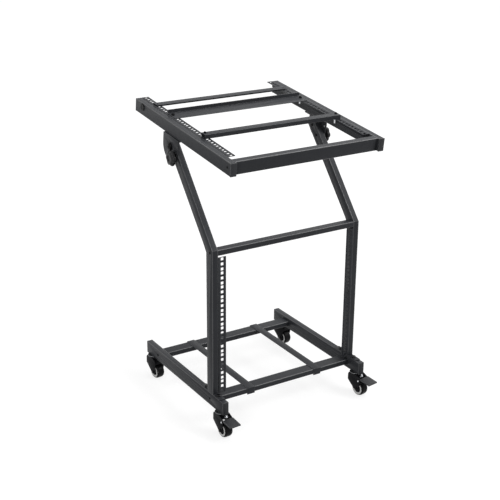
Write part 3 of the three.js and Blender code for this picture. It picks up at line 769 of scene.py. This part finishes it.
class RACKSTAND_OT_base_plates(PieceOperator, bpy.types.Operator):
    """Eases the base plates and their bolt heads"""

    bl_idname = "rack_stand.base_plates"
    bl_label = "Base plates"

    def execute(self, context):
        size = sizes()
        for side in SIDES:
            node = f"base_plate_{side}"
            piece = eased_copy(node, size.sheet_corner, size.rim_ease, "black_steel", "stand", 0.05)
            # The plates' eased edges take the coat edge, lighter as a painted highlight.
            for index, name in enumerate(("Frame coat", "Coat edge")):
                piece.data.materials[index] = finish(name)
            plate_top = corners(f"foot_{side}")[1][2] + PLATE_THICKNESS + 0.1 * MM
            repaint(piece.data, face_values(piece.data, "center")[:, 2] > plate_top, "Black steel")
        return {"FINISHED"}


class RACKSTAND_OT_screws(PieceOperator, bpy.types.Operator):
    """Puts button heads where the crossbars and the bars of the top frame are screwed on"""

    bl_idname = "rack_stand.screws"
    bl_label = "Screws and nuts"

    def execute(self, context):
        size = sizes()
        for side, sign in SIDES.items():
            outer = corners(f"foot_{side}")
            face = outer[1][0] if sign > 0 else outer[0][0]
            for bar in ("base_front_crossbar", "base_rear_crossbar", "mid_crossbar"):
                low, high = corners(bar)
                place = (face, (low[1] + high[1]) / 2, (low[2] + high[2]) / 2)
                parts = button_head(place, (sign, 0, 0), size.frame_screw, size.frame_screw_height)
                joined(f"{bar}_screw_{side}", parts, "Black steel", "stand")
            self.top_side(side, sign)
            self.inner_ends(side, sign)
        normal = top_axes()[1]
        for bar, s, n in CROSS_BARS:
            head, rise, coat = size.frame_screw, 3.0 * MM, "Black steel"
            nut, slot = (5.0 * MM, 5.0 * MM, 16.0 * MM), "zinc"
            if bar == "top_shelf_bar":
                head, rise = size.bar_screw, size.bar_screw_height
            elif bar == "top_rear_bar":
                rise, coat = REAR_BAR_HEAD, "Frame coat"
                nut, slot = (4.0 * MM, 3.2 * MM, 5.4 * MM), "black_steel"
            for side, sign in SIDES.items():
                x = sign * RACK_COLUMN
                parts = button_head(on_top_frame(x, s, n), normal, head, rise, bar == "top_front_bar")
                joined(f"{bar}_screw_{side}", parts, coat, "top_frame")
                parts = hex_nut(on_top_frame(x, s, -RAIL_THICKNESS), -normal, *nut)
                joined(f"{bar}_nut_{side}", parts, slot_finish(slot)[0], "top_frame")
        return {"FINISHED"}

    def inner_ends(self, side, sign):
        """The ends of the pivot bolt and of the lock stud on the inner face of a post."""
        low, high = corners(f"post_{side}")
        face = low[0] if sign > 0 else high[0]
        for name, joint in (("pivot", "top_tilt"), ("stud", f"knob_{side}_turn")):
            y, z = JOINTS[joint]["pos_m"][1:]
            end = button_head((face, y, z), (-sign, 0, 0), 4.6 * MM, 2.0 * MM)
            joined(f"{name}_end_{side}", end, "Black steel", "stand")

    def top_side(self, side, sign):
        """The plug and the small screw on the outer face of a top member."""
        size = sizes()
        low, high = corners(f"top_member_{side}")
        face = high[0] if sign > 0 else low[0]
        out = (sign, 0, 0)
        plug = hole_plug(on_top_frame(face, *PLUG_PLACE), out, size.plug, size.plug_height)
        joined(f"top_member_plug_{side}", [plug], "Rubber tread", "top_frame")
        place = on_top_frame(face, *MEMBER_SCREW_PLACE)
        screw = button_head(place, out, size.frame_screw, size.frame_screw_height)
        joined(f"top_member_screw_{side}", screw, "Black steel", "top_frame")


class RACKSTAND_OT_pivots(PieceOperator, bpy.types.Operator):
    """Makes the pivot bolts with domed heads and hexagon sockets"""

    bl_idname = "rack_stand.pivots"
    bl_label = "Pivot bolts"

    def execute(self, context):
        for side, sign in SIDES.items():
            node = f"pivot_bolt_{side}"
            inner, length, radius, middle = standing_out(node, sign)
            seat = length - PIVOT_HEAD
            profile = rounded(
                [(0, length - 0.0018), (0.0031, length - 0.0018), (0.0031, length), (0.55 * radius, length),
                 (0.86 * radius, length - 0.0022), (radius, seat + 0.0018), (radius, seat), (0.005, seat),
                 (0.005, 0), (0, 0)],
                [0, 0, 0.0004, 0.003, 0.003, 0.001, 0.0003, 0, 0.0006, 0],
            )
            hexness = np.where((profile[:, 0] <= 0.0032) & (profile[:, 1] > seat), 1.0, 0.0)
            part = turned(profile, (inner, *middle[1:]), (sign, 0, 0), 64, hexness)
            piece = joined(f"{node}_turned", [part], "Black steel", "stand")
            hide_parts(node)
        return {"FINISHED"}


def star(profile, angle):
    """Swell of a six-lobed grip: one less a share of a sixfold cosine dent that fades near the axis."""
    fade = np.clip((profile[:, :1] - 0.010) / 0.010, 0, 1)
    dent = ((1 - np.cos(6 * angle)) / 2) ** 1.4
    return 1 - 0.15 * fade * dent[None, :]


class RACKSTAND_OT_knobs(PieceOperator, bpy.types.Operator):
    """Makes the lobed lock knobs with a hub, a crowned face and a sunk middle"""

    bl_idname = "rack_stand.knobs"
    bl_label = "Lock knobs"

    def execute(self, context):
        for side, sign in SIDES.items():
            node = f"lock_knob_{side}"
            inner, length, radius, _ = standing_out(node, sign)
            grip = length - KNOB_GRIP
            profile = rounded(
                [(0, length - 0.0026), (0.0085, length - 0.0026), (0.0092, length - 0.0004),
                 (0.70 * radius, length), (radius, length - 0.0045), (radius, grip + 0.0030),
                 (0.90 * radius, grip), (0.0112, grip), (0.0108, grip - 0.005), (0.0040, grip - 0.005),
                 (0.0040, 0), (0, 0)],
                [0, 0.0008, 0.0008, 0.004, 0.004, 0.003, 0.002, 0.001, 0.0006, 0, 0.0005, 0],
                5,
            )
            start = (inner, *JOINTS[f"knob_{side}_turn"]["pos_m"][1:])
            part = turned(profile, start, (sign, 0, 0), 120, swell=star)
            piece = joined(f"{node}_grip", [part], "Black plastic", f"knob_{side}", 40)
            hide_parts(node)
        return {"FINISHED"}


def ribbed(profile, angle):
    """Swell of the wheel core's web: a little less between the five spokes."""
    band = np.clip(1 - np.abs(profile[:, :1] - 0.0105) / 0.0022, 0, 1)
    return 1 - 0.06 * band * (0.5 + 0.5 * np.cos(5 * angle))[None, :]


class RACKSTAND_OT_wheels(PieceOperator, bpy.types.Operator):
    """Makes the wheels: rubber treads on light moulded cores whose sunk middle is painted dark as shade, and
    their axles
    """

    bl_idname = "rack_stand.wheels"
    bl_label = "Wheels"

    def execute(self, context):
        for caster in CASTERS:
            joint = JOINTS[f"wheel_{caster}_spin"]
            middle, axis = np.array(joint["pos_m"]), np.array(joint["axis"])
            body = f"wheel_{caster}"
            half, seat, tread, flat, edge = 0.0135, 0.0195, 0.024, 0.008, 0.0205
            flank = [(edge, half), (edge + 0.0012, half - 0.0008)]
            flank += [(tread - 0.0006, flat + 0.0016), (tread, flat)]
            groove = [(tread, 0.0009), (tread - 0.0005, 0.0004)]
            right = [(seat, half), *flank, *groove]
            loop = [(seat, 0), *[(r, -h) for r, h in right], *right[::-1], (seat, 0)]
            soft = [0.0003, 0.0004, 0.0008, 0.0012, 0.0012, 0.0001, 0.0001]
            tyre = rounded(loop, [0, *soft, *soft[::-1], 0])
            part = turned(tyre, middle, axis, 96)
            piece = joined(f"{body}_tread", [part], "Rubber tread", body)
            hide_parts(f"caster_{caster}_tyre")
            face, hub, web = 0.0143, 0.0155, 0.003
            core_half = [
                (0.0042, hub), (0.0076, hub), (0.0082, web + 0.0008), (0.0124, web), (0.0130, face - 0.0012),
                (0.0160, face), (0.0192, face - 0.0003), (0.0195, face - 0.0010),
            ]
            mirrored = [(r, -h) for r, h in core_half[::-1]]
            loop = [(0.0042, 0), *core_half, *mirrored, (0.0042, 0)]
            radii = [0, 0.0003, 0.0006, 0.0008, 0.0010, 0.0008, 0.0012, 0.0003, 0.0003]
            core = rounded(loop, radii + radii[:0:-1] + [0])
            part = turned(core, middle, axis, 90, swell=ribbed)
            piece = joined(f"{body}_core", [part], "Wheel core", body, 50)
            away = face_values(piece.data, "center") - middle
            away -= (away @ axis)[:, None] * axis
            # Painted shade: the faces of the sunk middle take the dark cap plastic.
            repaint(piece.data, np.linalg.norm(away, axis=1) < PAINTED_SHADE_WELL, "Cap plastic")
            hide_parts(f"caster_{caster}_rim")
            self.axle(caster, middle, axis)
        return {"FINISHED"}

    def axle(self, caster, middle, axis):
        """The axle with a domed rivet head at one end and a nut at the other."""
        half, head, reach = 0.01835, 0.0055, 0.0208
        rod = rounded(
            [(0, reach), (head * 0.7, reach - 0.0001), (head, half + 0.0006), (head, half), (0.0039, half),
             (0.0039, -half), (0, -half)],
            [0, 0.0012, 0.0012, 0.0003, 0, 0, 0],
        )
        nut = np.array(
            [(0, -reach), (head * 0.5, -reach), (head * 0.86, -reach + 0.0003), (head * 0.9, -half - 0.0002),
             (head * 0.9, -half), (0, -half)]
        )
        parts = [turned(rod, middle, axis, 40), turned(nut[::-1], middle, axis, 36, [0, 0.9, 1, 1, 0.3, 0])]
        body = f"caster_{caster}"
        piece = joined(f"{body}_axle_turned", parts, "Black steel", body)
        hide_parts(f"{body}_axle")


def under_foot(caster):
    """Height of the underside of the foot over a caster."""
    return corners(f"foot_{caster.split('_')[1]}")[0][2]


def crown_place(caster):
    """The middle of a fork's crown, and unit vectors across it and ahead of it."""
    x, y = JOINTS[f"caster_{caster}_swivel"]["pos_m"][:2]
    across = np.array(JOINTS[f"wheel_{caster}_spin"]["axis"])
    return np.array([x, y, under_foot(caster) - CROWN_DROP]), across, np.cross(across, [0, 0, 1.0])


class RACKSTAND_OT_casters(PieceOperator, bpy.types.Operator):
    """Makes the forks with their lips, the swivel heads, ball races, brake nuts and pedals"""

    bl_idname = "rack_stand.casters"
    bl_label = "Casters"

    def execute(self, context):
        size = sizes()
        for caster in CASTERS:
            body = f"caster_{caster}"
            ease, rim = size.moulding_ease, size.rim_ease
            fork = eased_copy(f"{body}_fork", ease, rim, "black_steel", body, 0.012, 2)
            for index in range(2):
                fork.data.materials[index] = finish("Fork steel")
            self.head(caster)
            self.race(caster)
            if caster.startswith("rear"):
                self.lip(caster)
            else:
                self.stud(caster)
                eased_copy(f"{body}_pedal", ease, rim, "black_plastic", f"pedal_{caster}", 0.012, 2)
                eased_copy(f"{body}_pedal_pin", rim, rim, "zinc", body, 0.002, 2)
        return {"FINISHED"}

    def head(self, caster):
        """The swivel plate with its stem and the rivet under the fork."""
        node = f"caster_{caster}_swivel_head"
        low, high = corners(node)
        x, y = (low[0] + high[0]) / 2, (low[1] + high[1]) / 2
        top, base = under_foot(caster), low[2]
        profile = rounded(
            [(0, high[2]), (0.0046, high[2]), (0.0050, high[2] - 0.0006), (0.0050, top), (0.0194, top),
             (0.0200, top - 0.0007), (0.0200, top - 0.0022), (0.0192, top - 0.0030), (0.0050, top - 0.0030),
             (0.0050, base + 0.0030), (0.0080, base + 0.0030), (0.0070, base), (0, base)],
            [0, 0.0005, 0.0005, 0, 0.0004, 0.0006, 0.0006, 0.0004, 0, 0, 0.0003, 0.0015, 0],
        )
        part = turned(profile[::-1], (x, y, 0), (0, 0, 1), 64)
        piece = joined(f"{node}_turned", [part], "Dull zinc", "stand")
        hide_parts(node)

    def lip(self, caster):
        """The turned down front of a crown: a quarter ellipse ahead of the race, carried side to side."""
        crown, across, ahead = crown_place(caster)
        turn = np.linspace(0, math.pi / 2, 9)
        start, reach, drop, wall, half_width = 0.0245, 0.0095, 0.013, 0.0016, 0.0162
        outer, inner = (
            np.stack([start + (reach - w) * np.sin(turn), -w - (drop - w) * (1 - np.cos(turn))], axis=1)
            for w in (0, wall)
        )
        outline = np.concatenate([outer, inner[::-1]])
        section = crown + outline[:, :1] * ahead + outline[:, 1:] * [0, 0, 1.0]
        ends = [-half_width * across, half_width * across]
        carried(f"caster_{caster}_front_lip", section, ends, "Fork steel", f"caster_{caster}")

    def stud(self, caster):
        """The bright nut of the brake on the crown of the fork, in front of the race."""
        crown, across, ahead = crown_place(caster)
        nut = hex_nut(crown + 0.002 * across + 0.0232 * ahead, (0, 0, 1), 4.8 * MM, 4.0 * MM, 6.0 * MM)
        joined(f"caster_{caster}_brake_nut", nut, "Zinc plate", f"caster_{caster}")

    def race(self, caster):
        """The dark ball race on the crown of the fork: a ring with a groove half way up."""
        head = JOINTS[f"caster_{caster}_swivel"]["pos_m"]
        top = under_foot(caster) - 0.0033
        low = top - 0.0077
        ring = rounded(
            [(0.0052, top), (0.0155, top), (0.0174, top - 0.0012), (0.0174, top - 0.0030),
             (0.0164, top - 0.0036), (0.0164, top - 0.0046), (0.0174, top - 0.0052), (0.0174, low),
             (0.0052, low)],
            [0, 0.0005, 0.0006, 0.0003, 0.0003, 0.0003, 0.0003, 0.0006, 0],
        )
        part = turned(ring[::-1], (head[0], head[1], 0), (0, 0, 1), 64)
        joined(f"caster_{caster}_race", [part], "Fork steel", f"caster_{caster}")


def set_place(thing, axes, place):
    """Turns a lamp or a camera to three unit vectors, right, up and back, and stands it on its place."""
    matrix = np.eye(4)
    matrix[:3, :3] = np.stack(axes, axis=1)
    matrix[:3, 3] = place
    thing.matrix_world = Matrix(matrix.tolist())


class RACKSTAND_OT_stage(PieceOperator, bpy.types.Operator):
    """Sets up the floor, the lamps, the surround and the camera"""

    bl_idname = "rack_stand.stage"
    bl_label = "Stage"

    def execute(self, context):
        scene = context.scene
        scene.view_settings.view_transform = "Standard"
        settings = stage_settings()
        self.floor(settings)
        self.surround(scene, settings)
        for name, power, *rest in LAMPS:
            self.lamp(name, getattr(settings, power), *rest)
        self.camera(scene, settings)
        return {"FINISHED"}

    def floor(self, settings):
        """A flat floor: x and y evenly spaced from -reach to reach, z nought."""
        reach = 12.0
        u = np.linspace(-reach, reach, 5)
        x, y = np.meshgrid(u, u)
        points = np.stack([x, y, np.zeros_like(x)], axis=-1)
        mesh = bpy.data.meshes.new("Floor")
        mesh.from_pydata(points.reshape(-1, 3).tolist(), [], grid_faces(5, 5).tolist())
        floor = in_scene("Floor", mesh)
        material = bpy.data.materials.new("Pale floor")
        material.use_nodes = True
        nodes, links = material.node_tree.nodes, material.node_tree.links
        shader = nodes["Principled BSDF"]
        shader.inputs["Base Color"].default_value = (*settings.floor_colour, 1)
        shader.inputs["Roughness"].default_value = 0.9
        shader.inputs["Specular IOR Level"].default_value = 0.0
        place = nodes.new("ShaderNodeTexCoord")
        away = nodes.new("ShaderNodeVectorMath")
        away.operation = "LENGTH"
        links.new(place.outputs["Object"], away.inputs[0])
        near, far = 0.7, 3.2
        fade = range_node(nodes, near, far, settings.floor_lift_near, settings.floor_lift_far)
        links.new(away.outputs["Value"], fade.inputs["Value"])
        tree = material.node_tree
        lift = combined(tree, "MULTIPLY", seen_rays(tree), fade.outputs["Result"])
        shader.inputs["Emission Color"].default_value = (1, 1, 1, 1)
        links.new(lift, shader.inputs["Emission Strength"])
        mesh.materials.append(material)

    def surround(self, scene, settings):
        world = bpy.data.worlds.new("Surround")
        scene.world = world
        world.use_nodes = True
        nodes, links = world.node_tree.nodes, world.node_tree.links
        light = nodes["Background"]
        light.inputs["Color"].default_value = (1, 1, 1, 1)
        light.inputs["Strength"].default_value = settings.surround
        white = nodes.new("ShaderNodeBackground")
        white.inputs["Color"].default_value = (1, 1, 1, 1)
        white.inputs["Strength"].default_value = 1.0
        mix = nodes.new("ShaderNodeMixShader")
        links.new(seen_rays(world.node_tree), mix.inputs["Fac"])
        links.new(light.outputs["Background"], mix.inputs[1])
        links.new(white.outputs["Background"], mix.inputs[2])
        links.new(mix.outputs["Shader"], nodes["World Output"].inputs["Surface"])

    def lamp(self, name, power, width, place, target):
        data = bpy.data.lights.new(name, "AREA")
        data.energy = power
        data.size = width
        lamp = in_scene(name, data)
        set_place(lamp, axis_frame(np.array(place) - np.array(target)), place)

    def camera(self, scene, settings):
        heading, pitch, roll = settings.camera_turn
        forward = np.array(
            [math.sin(heading) * math.cos(pitch), math.cos(heading) * math.cos(pitch), -math.sin(pitch)]
        )
        level = np.array([math.cos(heading), -math.sin(heading), 0.0])
        upward = np.cross(level, forward)
        right = math.cos(roll) * level + math.sin(roll) * upward
        top = -math.sin(roll) * level + math.cos(roll) * upward
        data = bpy.data.cameras.new("Camera")
        data.lens = settings.focal_length
        data.sensor_width = 36.0
        data.shift_x = settings.centre_right
        data.shift_y = settings.centre_up
        data.clip_end = 60
        camera = in_scene("Camera", data)
        set_place(camera, (right, top, -forward), settings.camera_place)
        scene.camera = camera


PIECES = (
    RACKSTAND_OT_finishes,
    RACKSTAND_OT_tubes,
    RACKSTAND_OT_sheet_parts,
    RACKSTAND_OT_caps,
    RACKSTAND_OT_base_plates,
    RACKSTAND_OT_screws,
    RACKSTAND_OT_pivots,
    RACKSTAND_OT_knobs,
    RACKSTAND_OT_wheels,
    RACKSTAND_OT_casters,
    RACKSTAND_OT_stage,
)


class RACKSTAND_PT_pieces(bpy.types.Panel):
    """Lists the pieces, their sizes and their colours"""

    bl_idname = "RACKSTAND_PT_pieces"
    bl_label = "Rack stand"
    bl_space_type = "VIEW_3D"
    bl_region_type = "UI"
    bl_category = "Rack stand"

    def draw(self, context):
        column = self.layout.column()
        for piece in PIECES:
            column.operator(piece.bl_idname)
        for group in (finishes(), sizes(), stage_settings()):
            box = self.layout.box()
            for name in group.__annotations__:
                box.prop(group, name)


GROUPS = (RackStandFinishes, RackStandSizes, RackStandStage)


def register():
    for cls in (*GROUPS, *PIECES, RACKSTAND_PT_pieces):
        bpy.utils.register_class(cls)
    bpy.types.Scene.rack_stand_finishes = PointerProperty(type=RackStandFinishes)
    bpy.types.Scene.rack_stand_sizes = PointerProperty(type=RackStandSizes)
    bpy.types.Scene.rack_stand_stage = PointerProperty(type=RackStandStage)


def unregister():
    del bpy.types.Scene.rack_stand_stage
    del bpy.types.Scene.rack_stand_sizes
    del bpy.types.Scene.rack_stand_finishes
    for cls in reversed((*GROUPS, *PIECES, RACKSTAND_PT_pieces)):
        bpy.utils.unregister_class(cls)


def main():
    register()
    for piece in PIECES:
        group, operator = piece.bl_idname.split(".")
        getattr(getattr(bpy.ops, group), operator)()


if __name__ == "__main__":
    main()
